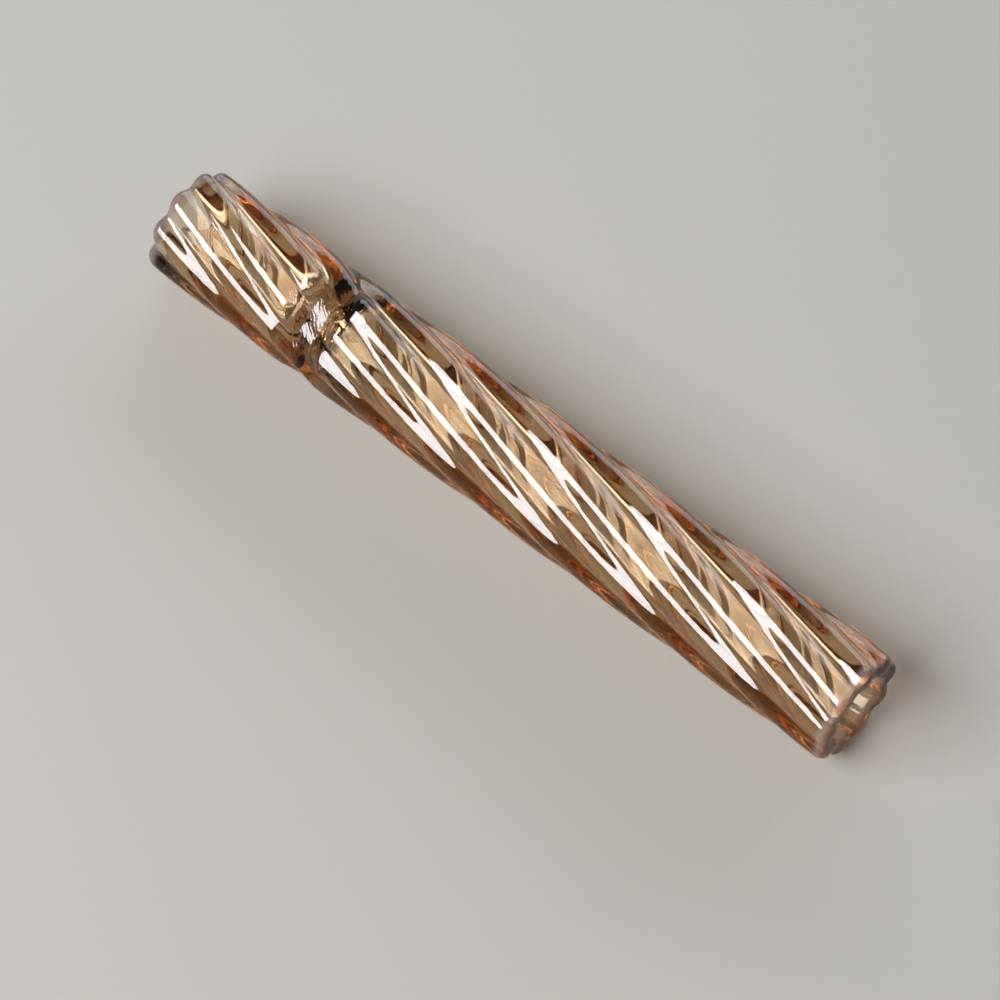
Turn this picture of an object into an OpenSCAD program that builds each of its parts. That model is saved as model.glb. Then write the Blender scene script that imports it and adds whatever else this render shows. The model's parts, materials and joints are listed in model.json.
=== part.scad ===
// A short hand-worked glass tube, open at both ends and pinched to a narrow throat near one end.
// Nine glass rods wind round it as ridges, and the flame has melted everything together.
// It lies on its side. The tube's axis runs along X, with the bowl at -X and the stem at +X,
// and Z is 0 under the lowest ridge. Angles go round the axis from straight up towards -Y.

/* [Overall] */
// Length from rim to rim
overall_length = 100; // [70:1:140]

/* [Tube] */
// Inner diameter of the plain tube under the rods
bore_diameter = 8.4; // [6:0.1:11]
// Wall of the plain tube
tube_wall = 1.7; // [1.3:0.05:2.5]
// Radius of the melted inner edge of each rim
rim_round = 1.1; // [0.3:0.05:1.3]

/* [Rods] */
// Number of rods round the tube
rod_count = 9; // [7:1:12]
// Height of a rod's crest above the plain tube
rod_rise = 1.15; // [0.6:0.05:2]
// Glass left over the plain tube in the groove between two rods
groove_web = 0.3; // [0.1:0.05:0.5]
// How much tighter the grooves are than the ridges, from 0 for grooves as wide as the ridges
groove_tightness = 0.45; // [0:0.05:0.7]
// Length of tube in which a stem rod makes a full turn
stem_pitch = 131; // [80:1:400]
// Length of tube in which a bowl rod makes a full turn
bowl_pitch = 112; // [80:1:400]
// Angle of the first stem rod where it leaves the waist
stem_rod_angle = 30.2; // [0:0.1:60]
// Angle of the first bowl rod where it leaves the waist
bowl_rod_angle = 33; // [0:0.1:60]
// Length of the melted, rounded end of each rod at a rim
rod_end_round = 1.2; // [0.4:0.1:2]

/* [Waist] */
// Length of the bowl, from its rim to the waist
bowl_length = 19.2; // [12:0.1:30]
// Length of the pinched waist
waist_length = 7.4; // [5:0.1:10]
// How far the waist is pressed in on each side
pinch_depth = 1.8; // [1:0.1:2.5]
// Length of the slope from a ridge's end down to the flat of the pinch
pinch_slope = 2.9; // [1.5:0.1:3.6]
// Angle of the side that is pressed in, which has a second one opposite
pinch_angle = 25; // [0:1:90]
// Narrow way across the throat, between the pressed sides
throat_height = 2.2; // [0.8:0.1:3]
// Wide way across the throat
throat_width = 4.6; // [3:0.1:5]

/* [Fit] */
// Gap along each seam between two melted pieces
seam_gap = 0.02; // [0.01:0.01:0.05]

/* [Hidden] */

bore_r = bore_diameter / 2;
tube_r = bore_r + tube_wall;
crest_r = tube_r + rod_rise;
groove_depth = rod_rise - groove_web;

// Ends of the three stretches along X
bowl_rim_x = -overall_length / 2;
waist_start_x = bowl_rim_x + bowl_length;
waist_end_x = waist_start_x + waist_length;
stem_rim_x = overall_length / 2;
stem_length = stem_rim_x - waist_end_x;

// One rod's share of the full circle, and the share of it lost to a seam on the tube's surface
rod_share = 360 / rod_count;
seam_share = asin(seam_gap / tube_r);

// Fineness of the rods: steps across a rod, length of one step along it, steps round its end
across_steps = 6;
along_step = 2.2;
end_steps = 3;
// Length over which a rod's rings lean over, from square to the tube to square to the rod
lean_fade = 6;
// A rod's end keeps this share of its height, so that its last ring has a real thickness
end_height = 0.35;

// Share of their depth that the ridges lose on the two sides that aren't pressed in
side_fade = 0.4;

// Fineness of the waist: steps round it, along its outside and along its inside
round_steps = rod_count * 6;
outside_steps = 12;
inside_steps = 10;

glass = [0.80, 0.52, 0.28, 0.6];

$fn = 96;

// Point at a place along the axis, a distance from the axis and an angle round it
function on_axis(x, r, a) = [x, -r * sin(a), crest_r + r * cos(a)];

// Height of the glass above the axis at an angle away from a rod's crest
function ridge_r(a) =
    let (low = (1 - cos(rod_count * a)) / 2)
        crest_r - groove_depth * low * (1 - groove_tightness * (1 - low));

// Radius of an ellipse at an angle from its half height
function ellipse_r(half_height, half_width, a) =
    half_height * half_width / sqrt(pow(half_width * cos(a), 2) + pow(half_height * sin(a), 2));

// Faces between rings of points, each ring closed on itself
function ring_faces(rings, points) = [
    for (i = [0:rings - 2], j = [0:points - 1])
        let (k = (j + 1) % points, a = i * points, b = (i + 1) * points)
            each [[a + j, b + j, a + k], [b + j, b + k, a + k]]];

// Distances of the rings from the waist, with the last few bunched round the melted end
function rod_stations(length) =
    let (straight = length - rod_end_round, steps = ceil(straight / along_step)) concat(
        [for (i = [0:steps]) straight * i / steps],
        [for (i = [1:end_steps]) straight + rod_end_round * sin(90 * i / end_steps)]);

// Share of its height that a rod keeps at a distance from the waist
function rod_height(d, length) =
    let (past = max(0, d - (length - rod_end_round)) / rod_end_round)
        end_height + (1 - end_height) * sqrt(max(0, 1 - past * past));

// Share of the full lean that a ring has at a distance from the waist, from 0 at both ends of the rod
function rod_lean(d, length) = min(1, d / lean_fade, (length - d) / lean_fade);

// One ring of a rod, leaning so that it lies square to the rod's own run. It goes along the outside one
// way and back along the seat on the tube
function rod_ring(d, length, waist_x, first_angle, pitch, towards) =
    let (
        half = rod_share / 2 - seam_share,
        seat_r = (tube_r + seam_gap) / cos(half / across_steps),
        height = rod_height(d, length),
        arc_to_length = -towards * 360 * pow(tube_r * PI / 180, 2) / pitch,
        spread = [for (j = [0:across_steps]) half * (2 * j / across_steps - 1)],
        edge = [for (a = spread)
            let (along = d + arc_to_length * a * rod_lean(d, length))
                [waist_x + towards * (seam_gap + along), first_angle + towards * 360 * along / pitch + a]])
        concat(
            [for (j = [0:across_steps])
                on_axis(edge[j][0], seat_r + (ridge_r(spread[j]) - seat_r) * height, edge[j][1])],
            [for (j = [across_steps:-1:0]) on_axis(edge[j][0], seat_r, edge[j][1])]);

// A rod laid round the tube from the waist to a rim. towards is 1 for the stem and -1 for the bowl
module rod(waist_x, length, first_angle, pitch, index, towards) {
    reach = length - seam_gap;
    stations = rod_stations(reach);
    rings = [for (d = stations)
        rod_ring(d, reach, waist_x, first_angle + index * rod_share, pitch, towards)];
    points = 2 * (across_steps + 1);
    last = len(stations) - 1;
    sides = ring_faces(len(stations), points);
    near_end = [for (j = [0:points - 1]) j];
    far_end = [for (j = [points - 1:-1:0]) last * points + j];
    faces = concat(sides, [near_end, far_end]);
    polyhedron(
        points = [for (ring = rings) each ring],
        faces = towards > 0 ? faces : [for (f = faces) [for (i = [len(f) - 1:-1:0]) f[i]]]);
}

// Plain round tube with the inner edge of its rim melted round, standing on its waist end
module plain_tube(length) {
    rotate_extrude() intersection() {
        translate([bore_r, 0]) square([tube_r - bore_r, length]);
        union() {
            translate([bore_r, 0]) square([rim_round, length - rim_round]);
            translate([bore_r + rim_round, 0]) square([tube_r - bore_r, length]);
            translate([bore_r + rim_round, length - rim_round]) circle(rim_round);
        }
    }
}

module stem_tube() {
    color(glass)
        translate([waist_end_x + seam_gap, 0, crest_r])
            rotate([0, 90, 0]) plain_tube(stem_length - seam_gap);
}

module bowl_tube() {
    color(glass)
        translate([waist_start_x - seam_gap, 0, crest_r])
            rotate([0, -90, 0]) plain_tube(bowl_length - seam_gap);
}

// Smooth step from 0 to 1 while u goes from 0 to 1
function ease(u) = let (c = min(1, max(0, u))) c * c * (3 - 2 * c);

// How far the outside is pressed in at a place along the waist, from 0 at its ends to 1
function pressed(x) = ease((x - waist_start_x) / pinch_slope) * ease((waist_end_x - x) / pinch_slope);

// How far the bore has closed there, from 0 at the ends to 1 in the middle
function closed(x) = pow(sin(180 * (x - waist_start_x) / waist_length), 2);

// Crest angle of the rods as they cross the waist, turning from the bowl's to the stem's
function waist_crest(x) =
    let (along = (x - waist_start_x) / waist_length, ahead = stem_rod_angle + rod_share)
        bowl_rod_angle + (ahead - bowl_rod_angle) * along;

// Outside of the waist: ridges that fade where it is pressed in, and stay faint on its two bulging sides
function waist_outside(x, a) =
    let (
        facing = pow(cos(a - pinch_angle), 2),
        fade = pressed(x) * (side_fade + (1 - side_fade) * facing))
        ridge_r(a - waist_crest(x)) * (1 - fade)
            + (crest_r - groove_depth / 2) * fade
            - pinch_depth * pressed(x) * facing;

// Inside of the waist: the round bore pressed to an oval throat
function waist_inside(x, a) =
    ellipse_r(
        bore_r + (throat_height / 2 - bore_r) * closed(x),
        bore_r + (throat_width / 2 - bore_r) * closed(x),
        a - pinch_angle);

module waist() {
    outside = [for (i = [0:outside_steps]) waist_start_x + waist_length * i / outside_steps];
    inside = [for (i = [inside_steps:-1:0]) waist_start_x + waist_length * i / inside_steps];
    turns = [for (j = [0:round_steps - 1]) 360 * j / round_steps];
    rings = concat(
        [for (x = outside) [for (a = turns) on_axis(x, waist_outside(x, a), a)]],
        [for (x = inside) [for (a = turns) on_axis(x, waist_inside(x, a), a)]]);
    count = len(rings);
    closed_rings = concat(rings, [rings[0]]);
    faces = [for (f = ring_faces(count + 1, round_steps)) [for (i = f) i % (count * round_steps)]];
    color(glass) polyhedron(
        points = [for (ring = rings) each ring],
        faces = [for (f = faces) [f[2], f[1], f[0]]]);
}

module stem_rod(index) {
    color(glass) rod(waist_end_x, stem_length, stem_rod_angle, stem_pitch, index, 1);
}

module bowl_rod(index) {
    color(glass) rod(waist_start_x, bowl_length, bowl_rod_angle, bowl_pitch, index, -1);
}

stem_tube();
bowl_tube();
waist();
for (i = [1:rod_count]) {
    stem_rod(i - 1);
    bowl_rod(i - 1);
}
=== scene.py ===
import json
import math

import bpy
import numpy as np
from mathutils import Matrix, Vector


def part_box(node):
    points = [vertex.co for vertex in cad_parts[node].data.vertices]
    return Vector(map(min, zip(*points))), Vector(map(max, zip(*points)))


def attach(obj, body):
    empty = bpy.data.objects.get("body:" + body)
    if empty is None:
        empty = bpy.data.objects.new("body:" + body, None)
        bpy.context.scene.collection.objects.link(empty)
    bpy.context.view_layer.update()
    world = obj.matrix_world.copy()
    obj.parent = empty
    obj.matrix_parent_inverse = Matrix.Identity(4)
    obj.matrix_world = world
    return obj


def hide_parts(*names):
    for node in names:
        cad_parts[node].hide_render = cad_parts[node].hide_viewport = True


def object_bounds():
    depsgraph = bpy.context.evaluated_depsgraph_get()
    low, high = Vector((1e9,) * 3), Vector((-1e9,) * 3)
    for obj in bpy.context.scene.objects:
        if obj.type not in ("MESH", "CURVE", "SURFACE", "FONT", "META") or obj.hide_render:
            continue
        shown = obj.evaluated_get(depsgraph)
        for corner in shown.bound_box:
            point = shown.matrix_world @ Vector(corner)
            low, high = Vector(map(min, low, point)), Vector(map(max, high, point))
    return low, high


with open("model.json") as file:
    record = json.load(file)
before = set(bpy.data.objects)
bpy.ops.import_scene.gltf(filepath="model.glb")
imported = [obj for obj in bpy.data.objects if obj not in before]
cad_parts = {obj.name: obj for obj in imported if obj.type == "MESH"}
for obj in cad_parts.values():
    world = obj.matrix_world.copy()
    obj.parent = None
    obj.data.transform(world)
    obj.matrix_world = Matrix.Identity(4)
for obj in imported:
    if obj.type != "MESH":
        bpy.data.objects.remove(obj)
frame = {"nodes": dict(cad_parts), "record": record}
cad_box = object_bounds()

# --- Camera ---
# A long lens looks down on the tube from above its near side, so that the stem runs towards the
# viewer and its open mouth just shows.
CAMERA_ROUND = math.radians(40.2)
CAMERA_UP = math.radians(60.5)
CAMERA_AWAY = 0.5
CAMERA_LENS = 158.9
CAMERA_NEAREST = 0.01
AIM_RIGHT = -0.0014
AIM_ABOVE = -0.0049

tube_middle = (cad_box[0] + cad_box[1]) / 2
to_camera = Vector((
    math.sin(CAMERA_ROUND) * math.cos(CAMERA_UP),
    -math.cos(CAMERA_ROUND) * math.cos(CAMERA_UP),
    math.sin(CAMERA_UP)))
camera_right = Vector((math.cos(CAMERA_ROUND), math.sin(CAMERA_ROUND), 0))
camera_above = to_camera.cross(camera_right)
camera_data = bpy.data.cameras.new("camera")
camera_data.lens = CAMERA_LENS
camera_data.clip_start = CAMERA_NEAREST
camera = bpy.data.objects.new("camera", camera_data)
camera.location = (
    tube_middle + to_camera * CAMERA_AWAY
    + camera_right * AIM_RIGHT + camera_above * AIM_ABOVE)
camera.rotation_euler = to_camera.to_track_quat("Z", "Y").to_euler()
bpy.context.collection.objects.link(camera)
bpy.context.scene.camera = camera

# --- Floor ---
# A plain pale sheet under the tube, matt like card, with a faint mottle so that it isn't one flat tone.
# It only carries the tube and its shadow, and it isn't part of the object.
FLOOR_HALF = 0.6
FLOOR_PALE = (0.50, 0.485, 0.46)
FLOOR_SHADE = (0.48, 0.465, 0.44)
MOTTLE_SCALE = 6

floor_mesh = bpy.data.meshes.new("floor")
floor_mesh.from_pydata(
    [(-FLOOR_HALF, -FLOOR_HALF, 0), (FLOOR_HALF, -FLOOR_HALF, 0),
     (FLOOR_HALF, FLOOR_HALF, 0), (-FLOOR_HALF, FLOOR_HALF, 0)],
    [], [(0, 1, 2, 3)])
floor = bpy.data.objects.new("floor", floor_mesh)
bpy.context.collection.objects.link(floor)
card = bpy.data.materials.new("card")
card.use_nodes = True
card_nodes = card.node_tree.nodes
card_links = card.node_tree.links
card_shader = card_nodes["Principled BSDF"]
card_shader.inputs["Roughness"].default_value = 0.9
card_shader.inputs["Specular IOR Level"].default_value = 0.2
mottle = card_nodes.new("ShaderNodeTexNoise")
mottle.inputs["Scale"].default_value = MOTTLE_SCALE
mottle_ramp = card_nodes.new("ShaderNodeValToRGB")
mottle_ramp.color_ramp.elements[0].color = (*FLOOR_SHADE, 1)
mottle_ramp.color_ramp.elements[1].color = (*FLOOR_PALE, 1)
card_links.new(mottle.outputs["Fac"], mottle_ramp.inputs["Fac"])
card_links.new(mottle_ramp.outputs["Color"], card_shader.inputs["Base Color"])
floor.data.materials.append(card)

# --- Lights ---
# A broad soft box above the near side draws a bright line along each ridge. A lamp in front of it that
# is kept off the floor adds to those lines, and a wide dim panel on the far side gives a grey sheen.
KEY_TOWARDS = (-0.30, -0.65, 0.70)
KEY_LONG = 0.70
KEY_WIDE = 0.50
FAR_TOWARDS = (-0.25, 0.92, 0.30)
ROOM_COLOUR = (1.0, 0.98, 0.96)
ROOM_STRENGTH = 0.15


def soft_box(name, towards, away, long, wide, radiance, colour):
    """Area light at a distance from the tube's middle, its long side lying along the tube."""
    data = bpy.data.lights.new(name, "AREA")
    data.shape = "RECTANGLE"
    data.size = long
    data.size_y = wide
    data.energy = radiance * math.pi * long * wide
    data.color = colour
    box = bpy.data.objects.new(name, data)
    out = Vector(towards).normalized()
    along = (Vector((1, 0, 0)) - out * out.x).normalized()
    turned = Matrix((along, out.cross(along), out)).transposed().to_4x4()
    box.matrix_world = Matrix.Translation(tube_middle + out * away) @ turned
    bpy.context.collection.objects.link(box)
    return box


soft_box(
    "key_box", KEY_TOWARDS, away=0.80, long=KEY_LONG, wide=KEY_WIDE,
    radiance=7.5, colour=(1.0, 0.99, 0.98))
ridge_lamp = soft_box(
    "ridge_lamp", KEY_TOWARDS, away=0.79, long=KEY_LONG, wide=KEY_WIDE,
    radiance=14, colour=(0.86, 0.92, 1.0))
soft_box(
    "far_panel", FAR_TOWARDS, away=0.7, long=1.0, wide=0.45,
    radiance=3.0, colour=(0.88, 0.93, 1.0))
glass_pieces = bpy.data.collections.new("glass_pieces")
ridge_lamp.light_linking.receiver_collection = glass_pieces

world = bpy.data.worlds.new("room")
world.use_nodes = True
world.node_tree.nodes["Background"].inputs["Color"].default_value = (*ROOM_COLOUR, 1)
world.node_tree.nodes["Background"].inputs["Strength"].default_value = ROOM_STRENGTH
bpy.context.scene.world = world
bpy.context.scene.view_settings.view_transform = "Standard"
bpy.context.scene.cycles.max_bounces = 32
bpy.context.scene.cycles.transmission_bounces = 32
bpy.context.scene.cycles.glossy_bounces = 12
bpy.context.scene.cycles.transparent_max_bounces = 48

# --- Stem tube ---
# Plain round tubing of clear glass with a warm tint, the part that the rods are laid on. Its open
# rim has been held in the flame until the inner edge melted round.
MM = 0.001
RIM_ROUND = 1.1 * MM
RIM_DIP = 0.45 * MM
TUBE_STEPS = 144
BORE_STEP = 0.5 * MM
GLASS_IOR = 1.47
AMBER = (0.67, 0.44, 0.09)
AMBER_DENSITY = 300
RIM_BROWN = (0.34, 0.15, 0.09)
RIM_BAND = 1.8 * MM
RIM_HAZE = 0.28
RIM_MILK = 0.2
CLEAR = (1, 1, 1)
STREAK_DEPTH = 0.002 * MM
STREAK_SCALE = (60, 900, 900)
HANDLING_SCALE = 180
TUBE_HAZE = 0.03
ROD_COUNT = sum(name.startswith("stem_rod_") for name in frame["nodes"])
GROOVE_TIGHTNESS = 0.45
STEM_PITCH = 131 * MM
STEM_ROD_ANGLE = math.radians(30.2)

mounts = {m["name"]: m for m in frame["record"]["mounts"]}
stem_low, stem_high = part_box("stem_tube")
axis_z = (stem_low.z + stem_high.z) / 2
tube_r = (stem_high.y - stem_low.y) / 2
bore_r = mounts["stem_bore"]["dims"]["r_mm"] * MM


def clear_glass(name, haze_most):
    """Clear glass with its amber tint in its depth, and fine streaks from drawing. Towards a rim the flame
    has left it browner and a little milky. haze_most is how dull handling makes it. Faces marked as a
    seam are melted to their neighbour, so light goes straight through them."""
    glass = bpy.data.materials.new(name)
    glass.use_nodes = True
    nodes = glass.node_tree.nodes
    links = glass.node_tree.links
    shader = nodes["Principled BSDF"]
    shader.inputs["IOR"].default_value = GLASS_IOR
    places = nodes.new("ShaderNodeTexCoord")
    stretch = nodes.new("ShaderNodeMapping")
    stretch.inputs["Scale"].default_value = STREAK_SCALE
    links.new(places.outputs["Object"], stretch.inputs["Vector"])
    lines = nodes.new("ShaderNodeTexNoise")
    lines.inputs["Scale"].default_value = 1
    lines.inputs["Detail"].default_value = 3
    links.new(stretch.outputs["Vector"], lines.inputs["Vector"])
    bump = nodes.new("ShaderNodeBump")
    bump.inputs["Strength"].default_value = 1
    bump.inputs["Distance"].default_value = STREAK_DEPTH
    links.new(lines.outputs["Fac"], bump.inputs["Height"])
    links.new(bump.outputs["Normal"], shader.inputs["Normal"])
    handling = nodes.new("ShaderNodeTexNoise")
    handling.inputs["Scale"].default_value = HANDLING_SCALE
    handling.inputs["Detail"].default_value = 4
    links.new(places.outputs["Object"], handling.inputs["Vector"])
    haze = nodes.new("ShaderNodeMapRange")
    haze.inputs["From Min"].default_value = 0.5
    haze.inputs["From Max"].default_value = 0.8
    haze.inputs["To Min"].default_value = 0
    haze.inputs["To Max"].default_value = haze_most
    links.new(handling.outputs["Fac"], haze.inputs["Value"])
    along = nodes.new("ShaderNodeSeparateXYZ")
    links.new(places.outputs["Object"], along.inputs["Vector"])
    from_middle = nodes.new("ShaderNodeMath")
    from_middle.operation = "ABSOLUTE"
    links.new(along.outputs["X"], from_middle.inputs[0])
    rim_band = nodes.new("ShaderNodeMapRange")
    rim_band.interpolation_type = "SMOOTHSTEP"
    rim_band.inputs["From Min"].default_value = stem_high.x - RIM_BAND
    rim_band.inputs["From Max"].default_value = stem_high.x
    links.new(from_middle.outputs["Value"], rim_band.inputs["Value"])
    burnt = nodes.new("ShaderNodeMix")
    burnt.data_type = "RGBA"
    burnt.inputs["A"].default_value = (*CLEAR, 1)
    burnt.inputs["B"].default_value = (*RIM_BROWN, 1)
    links.new(rim_band.outputs["Result"], burnt.inputs["Factor"])
    links.new(burnt.outputs["Result"], shader.inputs["Base Color"])
    hazier = nodes.new("ShaderNodeMath")
    hazier.operation = "MULTIPLY_ADD"
    hazier.inputs[1].default_value = RIM_HAZE
    links.new(rim_band.outputs["Result"], hazier.inputs[0])
    links.new(haze.outputs["Result"], hazier.inputs[2])
    links.new(hazier.outputs["Value"], shader.inputs["Roughness"])
    milky = nodes.new("ShaderNodeMath")
    milky.operation = "MULTIPLY_ADD"
    milky.inputs[1].default_value = -RIM_MILK
    milky.inputs[2].default_value = 1
    links.new(rim_band.outputs["Result"], milky.inputs[0])
    links.new(milky.outputs["Value"], shader.inputs["Transmission Weight"])
    through = nodes.new("ShaderNodeBsdfTransparent")
    seam = nodes.new("ShaderNodeAttribute")
    seam.attribute_name = "seam"
    melted = nodes.new("ShaderNodeMixShader")
    links.new(seam.outputs["Fac"], melted.inputs["Fac"])
    links.new(shader.outputs["BSDF"], melted.inputs[1])
    links.new(through.outputs["BSDF"], melted.inputs[2])
    depth = nodes.new("ShaderNodeVolumeAbsorption")
    depth.inputs["Color"].default_value = (*AMBER, 1)
    depth.inputs["Density"].default_value = AMBER_DENSITY
    output = nodes["Material Output"]
    links.new(melted.outputs["Shader"], output.inputs["Surface"])
    links.new(depth.outputs["Volume"], output.inputs["Volume"])
    return glass


def round_axis(x, r, angle):
    """Points at places along the axis, distances from it and angles from straight up towards -Y."""
    return np.stack(np.broadcast_arrays(x, -r * np.sin(angle), axis_z + r * np.cos(angle)), axis=-1)


def slope_normals(surface, u, v, outwards):
    """Normals of surface(u, v), from its own slope. outwards is 1 or -1, to turn them out of the glass."""
    small = 1e-4
    du = surface(u + small, v) - surface(u - small, v)
    dv = surface(u, v + small) - surface(u, v - small)
    normal = np.cross(du, dv) * outwards
    return (normal / np.linalg.norm(normal, axis=-1, keepdims=True)).reshape(-1, 3)


def grid_faces(rows, columns, start, closed, turned):
    """Quads between points numbered row by row from start. closed joins the last column to the first."""
    last_column = columns if closed else columns - 1
    row, column = np.meshgrid(np.arange(rows - 1), np.arange(last_column), indexing="ij")
    after = (column + 1) % columns
    quads = np.stack([
        row * columns + column, row * columns + after,
        (row + 1) * columns + after, (row + 1) * columns + column], axis=-1).reshape(-1, 4) + start
    return quads[:, ::-1] if turned else quads


def ring_faces(ring_a, ring_b, columns, turned):
    """Quads between two closed rings, each given by the number of its first point."""
    here = np.arange(columns)
    after = (here + 1) % columns
    quads = np.stack([ring_a + here, ring_a + after, ring_b + after, ring_b + here], axis=-1)
    return quads[:, ::-1] if turned else quads


def glass_object(name, node, glass, points, skin_faces, skin_normals, seam_faces):
    """Closed mesh of one piece: its skin, with normals for each of its points, and its flat seam faces."""
    mesh = bpy.data.meshes.new(name)
    mesh.from_pydata(points.tolist(), [], skin_faces.tolist() + seam_faces)
    is_seam = np.arange(len(mesh.polygons)) >= len(skin_faces)
    mesh.attributes.new("seam", "FLOAT", "FACE").data.foreach_set("value", is_seam.astype(np.float32))
    corner_normals = np.zeros((len(mesh.loops), 3))
    corner_normals[:skin_faces.size] = skin_normals[skin_faces.reshape(-1)]
    mesh.normals_split_custom_set(corner_normals.tolist())
    mesh.materials.append(glass)
    piece = bpy.data.objects.new(name, mesh)
    bpy.context.collection.objects.link(piece)
    glass_pieces.objects.link(piece)
    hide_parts(node)
    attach(piece, "root")


def groove_share(from_crest):
    """Share of the drop from a rod's crest to a groove, at an angle from the crest."""
    low = (1 - np.cos(ROD_COUNT * from_crest)) / 2
    return low * (1 - GROOVE_TIGHTNESS * (1 - low))


def plain_tube(name, node, waist_x, rim_x, first_angle, pitch):
    """Round tube between its waist end and its rim. Its outside and its waist end are melted seams."""
    towards = 1 if rim_x > waist_x else -1
    straight = abs(rim_x - waist_x) - RIM_ROUND
    rim_crest = first_angle + (rim_x - waist_x) / pitch * 2 * math.pi

    def skin(s, angle):
        """The bore for s from 0 to 1, the round edge to 2, and the flat of the rim to 3."""
        turn = np.clip(s - 1, 0, 1) * math.pi / 2
        away = np.clip(s, 0, 1) * straight + RIM_ROUND * np.sin(turn)
        flat = np.clip(s - 2, 0, 1) * (tube_r - bore_r - RIM_ROUND)
        r = bore_r + RIM_ROUND * (1 - np.cos(turn)) + flat
        dip = RIM_DIP * groove_share(angle - rim_crest) * (r - bore_r) / (tube_r - bore_r)
        return round_axis(waist_x + towards * (away - dip), r, angle)

    s = np.concatenate([
        np.linspace(0, 1, int(straight / BORE_STEP)), np.linspace(1, 2, 8)[1:], np.linspace(2, 3, 4)[1:]])
    angle = np.linspace(0, 2 * math.pi, TUBE_STEPS, endpoint=False)
    s_grid, angle_grid = np.meshgrid(s, angle, indexing="ij")
    outside_x = np.linspace(rim_x, waist_x, 41)[1:, None]
    points = np.concatenate([
        skin(s_grid, angle_grid).reshape(-1, 3), round_axis(outside_x, tube_r, angle).reshape(-1, 3)])
    rows = len(s) + len(outside_x)
    faces = grid_faces(rows, TUBE_STEPS, 0, True, towards > 0)
    end = ring_faces((rows - 1) * TUBE_STEPS, 0, TUBE_STEPS, towards > 0)
    skin_count = (len(s) - 1) * TUBE_STEPS
    glass_object(
        name, node, tube_glass, points, faces[:skin_count],
        slope_normals(skin, np.clip(s_grid, 0.001, 2.999), angle_grid, towards),
        faces[skin_count:].tolist() + end.tolist())


tube_glass = clear_glass("tube_glass", TUBE_HAZE)
plain_tube("stem_glass_tube", "stem_tube", stem_low.x, stem_high.x, STEM_ROD_ANGLE, STEM_PITCH)

# --- Bowl tube ---
# A short length of the same clear amber tubing, on the other side of the waist. It has its own rim,
# melted round in the flame like the stem's.
BOWL_PITCH = 112 * MM
BOWL_ROD_ANGLE = math.radians(33)

bowl_low, bowl_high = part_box("bowl_tube")
plain_tube("bowl_glass_tube", "bowl_tube", bowl_high.x, bowl_low.x, BOWL_ROD_ANGLE, BOWL_PITCH)

# --- Rods on the stem ---
# Glass rods laid side by side round the hot tube and twisted as it is drawn, so they wind right-handed.
# They have sunk into smooth ridges, and each ends at the rim in a small round knob.
ROD_SHARE = 2 * math.pi / ROD_COUNT
GROOVE_DEPTH = 0.85 * MM
ROD_END_ROUND = 1.2 * MM
ROD_STEP = 0.4 * MM
ACROSS_STEPS = 20

crest_r = tube_middle.z


def ridge_r(from_crest):
    """Height of the glass above the axis, at an angle away from a rod's crest."""
    return crest_r - GROOVE_DEPTH * groove_share(from_crest)


def drawn_thin(index, away):
    """How far a rod's crest lies below its full height, as no rod is drawn quite even."""
    wave = np.sin(away / (9 * MM) + 2.4 * index) + 0.6 * np.sin(away / (3.7 * MM) + 1.7 * index**2)
    return (0.05 + 0.03 * wave) * MM * np.clip(away / (4 * MM), 0, 1)


def glass_rod(name, node, index, waist_x, rim_x, first_angle, pitch):
    """One rod from the waist to a rim: a grid of skin over a grid of seam, joined round the edges."""
    towards = 1 if rim_x > waist_x else -1
    straight = abs(rim_x - waist_x) - ROD_END_ROUND

    def skin(s, across, height=1.0):
        """The rod's length for s from 0 to 1, and its round end to 2, where it comes down to the tube."""
        turn = np.clip(s - 1, 0, 1) * math.pi / 2
        away = np.clip(s, 0, 1) * straight + ROD_END_ROUND * np.sin(turn)
        away = away - RIM_DIP * groove_share(across) * np.sin(turn)
        crest = first_angle + index * ROD_SHARE + towards * away / pitch * 2 * math.pi
        thin = drawn_thin(index, away) * (1 + np.cos(ROD_COUNT * across)) / 2
        r = tube_r + (ridge_r(across) - thin - tube_r) * np.cos(turn) * height
        return round_axis(waist_x + towards * away, r, crest + across)

    s = np.concatenate([np.linspace(0, 1, int(straight / ROD_STEP)), np.linspace(1, 2, 9)[1:]])
    across = np.linspace(-ROD_SHARE / 2, ROD_SHARE / 2, ACROSS_STEPS + 1)
    s_grid, across_grid = np.meshgrid(s, across, indexing="ij")
    rows, columns = s_grid.shape
    base = rows * columns
    points = np.concatenate([
        skin(s_grid, across_grid).reshape(-1, 3), skin(s_grid[:-1], across_grid[:-1], 0).reshape(-1, 3)])
    skin_faces = grid_faces(rows, columns, 0, False, towards < 0)
    under = grid_faces(rows - 1, columns, base, False, towards > 0)
    # The skin's last row lies on the tube, so the seam under the rod ends on that row
    row = np.arange(rows - 2)
    column = np.arange(columns - 1)
    last, last_base = (rows - 1) * columns, base + (rows - 2) * columns
    end = np.stack([last_base + column, last_base + column + 1, last + column + 1, last + column], axis=-1)
    start = np.stack([column + 1, column, base + column, base + column + 1], axis=-1)
    side = np.stack([
        row * columns, (row + 1) * columns, base + (row + 1) * columns, base + row * columns], axis=-1)
    tip = np.array([[last - columns, last, last_base]])
    seams = [end[:, ::-1], start, side, side[:, ::-1] + columns - 1, tip, tip[:, ::-1] + columns - 1]
    seam_faces = under.tolist()
    for faces in seams:
        seam_faces += (faces if towards > 0 else faces[:, ::-1]).tolist()
    glass_object(
        name, node, rod_glass, points, skin_faces,
        slope_normals(skin, np.clip(s_grid, 0.0002, 1.9998), across_grid, -towards), seam_faces)


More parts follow.
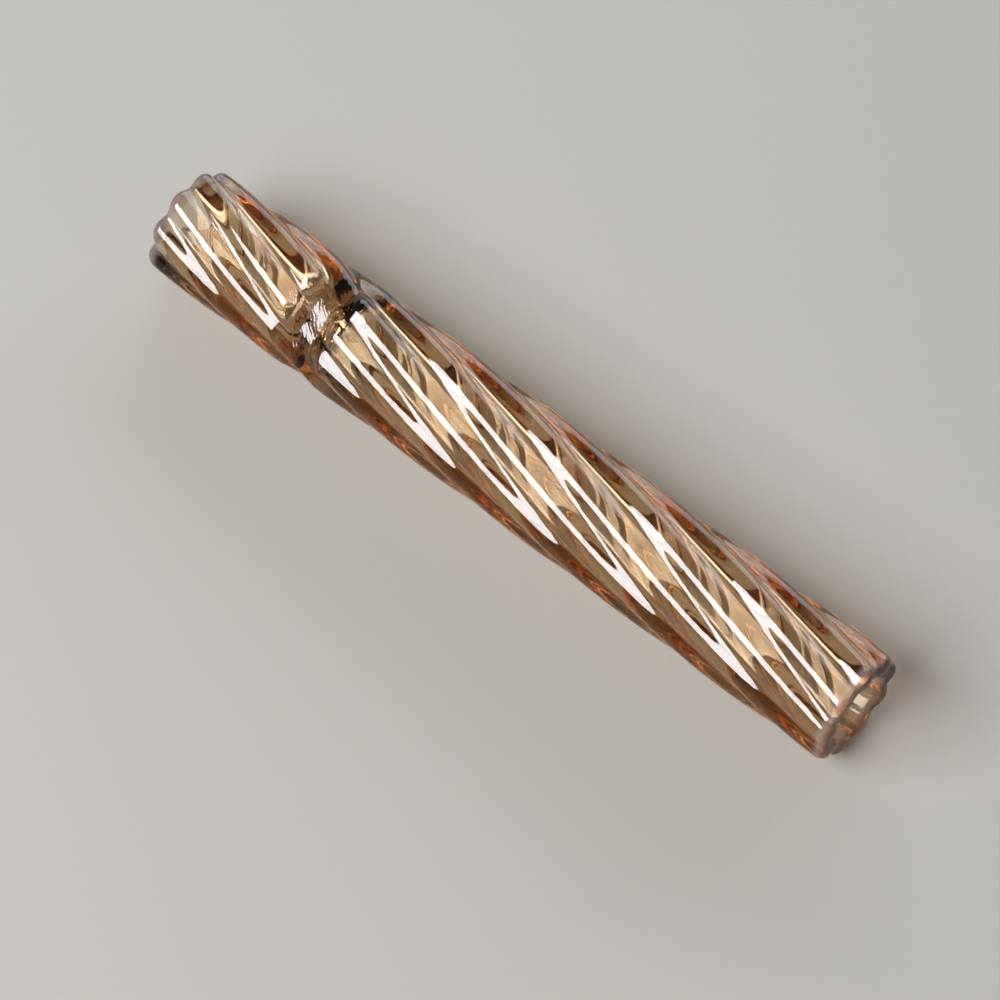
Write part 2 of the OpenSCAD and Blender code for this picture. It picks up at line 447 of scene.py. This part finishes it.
rod_glass = clear_glass("rod_glass", TUBE_HAZE)
for rod in range(ROD_COUNT):
    glass_rod(
        f"stem_glass_rod_{rod + 1}", f"stem_rod_{rod + 1}", rod,
        stem_low.x, stem_high.x, STEM_ROD_ANGLE, STEM_PITCH)

# --- Rods on the bowl ---
# The same glass rods melted on to the bowl. They wind a little tighter, because the short end turned
# further in the flame.
for rod in range(ROD_COUNT):
    glass_rod(
        f"bowl_glass_rod_{rod + 1}", f"bowl_rod_{rod + 1}", rod,
        bowl_high.x, bowl_low.x, BOWL_ROD_ANGLE, BOWL_PITCH)

# --- Waist ---
# The stretch between bowl and stem, softened and pinched with flat tweezers from two sides. The tweezers
# pressed the ridges flat and left fine wrinkles, and the bore inside crumpled to an oval throat.
PINCH_DEPTH = 1.8 * MM
PINCH_SLOPE = 2.9 * MM
PINCH_ANGLE = math.radians(25)
THROAT_HALF_HEIGHT = 1.1 * MM
THROAT_HALF_WIDTH = 2.3 * MM
SIDE_FADE = 0.4
FLAT_FADE = 0.78
WRINKLE_STEP = 0.46 * MM
WRINKLE_DEPTH = 0.022 * MM
CRUMPLE_DEPTH = 0.14 * MM
WAIST_STEPS = ROD_COUNT * 32
OUTSIDE_ROWS = 150
INSIDE_ROWS = 110
WAIST_HAZE = 0.05

waist_start, waist_end = bowl_high.x, stem_low.x
waist_length = waist_end - waist_start


def ease(u):
    """Smooth step from 0 to 1 while u goes from 0 to 1."""
    c = np.clip(u, 0, 1)
    return c * c * (3 - 2 * c)


def waist_crest(x):
    """Crest angle of the first rod across the waist, leaving each side at that side's own twist."""
    u = (x - waist_start) / waist_length
    start, end = BOWL_ROD_ANGLE, STEM_ROD_ANGLE + ROD_SHARE
    start_turn = 2 * math.pi * waist_length / BOWL_PITCH
    end_turn = 2 * math.pi * waist_length / STEM_PITCH
    return (
        start + (end - start) * ease(u)
        + start_turn * u * (1 - u) ** 2 - end_turn * u**2 * (1 - u))


def waist_outside(x, angle):
    """Outside of the waist: ridges that fade into two pressed flats, and the wrinkles on the flats."""
    pressed = ease((x - waist_start) / PINCH_SLOPE) * ease((waist_end - x) / PINCH_SLOPE)
    facing = np.cos(angle - PINCH_ANGLE) ** 2
    fade = pressed * (SIDE_FADE + (FLAT_FADE - SIDE_FADE) * facing)
    turn = 2 * math.pi * (0.81 * x - 0.59 * crest_r * angle) / WRINKLE_STEP
    uneven = 0.6 + 0.4 * np.sin(7 * angle + x / (0.9 * MM)) * np.sin(11 * angle - x / (0.5 * MM))
    wrinkle = WRINKLE_DEPTH * np.sin(turn + 1.3 * np.sin(13 * angle + x / (0.7 * MM))) * uneven
    r = (
        ridge_r(angle - waist_crest(x)) * (1 - fade) + (crest_r - GROOVE_DEPTH / 2) * fade
        - (PINCH_DEPTH + wrinkle) * pressed * facing)
    return round_axis(x, r, angle)


def waist_inside(x, angle):
    """Inside of the waist: the round bore pressed to an oval throat, with a crumpled wall."""
    closed = np.sin(math.pi * np.clip((x - waist_start) / waist_length, 0, 1)) ** 2
    high = bore_r + (THROAT_HALF_HEIGHT - bore_r) * closed
    wide = bore_r + (THROAT_HALF_WIDTH - bore_r) * closed
    from_pinch = angle - PINCH_ANGLE
    oval = high * wide / np.hypot(wide * np.cos(from_pinch), high * np.sin(from_pinch))
    crumple = (
        np.sin(5 * angle + x / (0.5 * MM)) * np.sin(3 * angle - x / (0.31 * MM))
        + 0.5 * np.sin(11 * angle + x / (0.23 * MM)) * np.sin(14 * angle - x / (0.17 * MM)))
    return round_axis(x, oval + CRUMPLE_DEPTH * crumple * closed, angle)


waist_glass = clear_glass("waist_glass", WAIST_HAZE)
waist_angle = np.linspace(0, 2 * math.pi, WAIST_STEPS, endpoint=False)
outside_x, outside_angle = np.meshgrid(
    np.linspace(waist_start, waist_end, OUTSIDE_ROWS), waist_angle, indexing="ij")
inside_x, inside_angle = np.meshgrid(
    np.linspace(waist_start, waist_end, INSIDE_ROWS), waist_angle, indexing="ij")
inside_first = OUTSIDE_ROWS * WAIST_STEPS
waist_skin = np.concatenate([
    grid_faces(OUTSIDE_ROWS, WAIST_STEPS, 0, True, False),
    grid_faces(INSIDE_ROWS, WAIST_STEPS, inside_first, True, True)])
waist_seams = np.concatenate([
    ring_faces(0, inside_first, WAIST_STEPS, True),
    ring_faces(
        (OUTSIDE_ROWS - 1) * WAIST_STEPS, inside_first + (INSIDE_ROWS - 1) * WAIST_STEPS,
        WAIST_STEPS, False)])
glass_object(
    "pinched_waist", "waist", waist_glass,
    np.concatenate([
        waist_outside(outside_x, outside_angle).reshape(-1, 3),
        waist_inside(inside_x, inside_angle).reshape(-1, 3)]),
    waist_skin,
    np.concatenate([
        slope_normals(waist_outside, outside_x, outside_angle, -1),
        slope_normals(waist_inside, inside_x, inside_angle, 1)]),
    waist_seams.tolist())
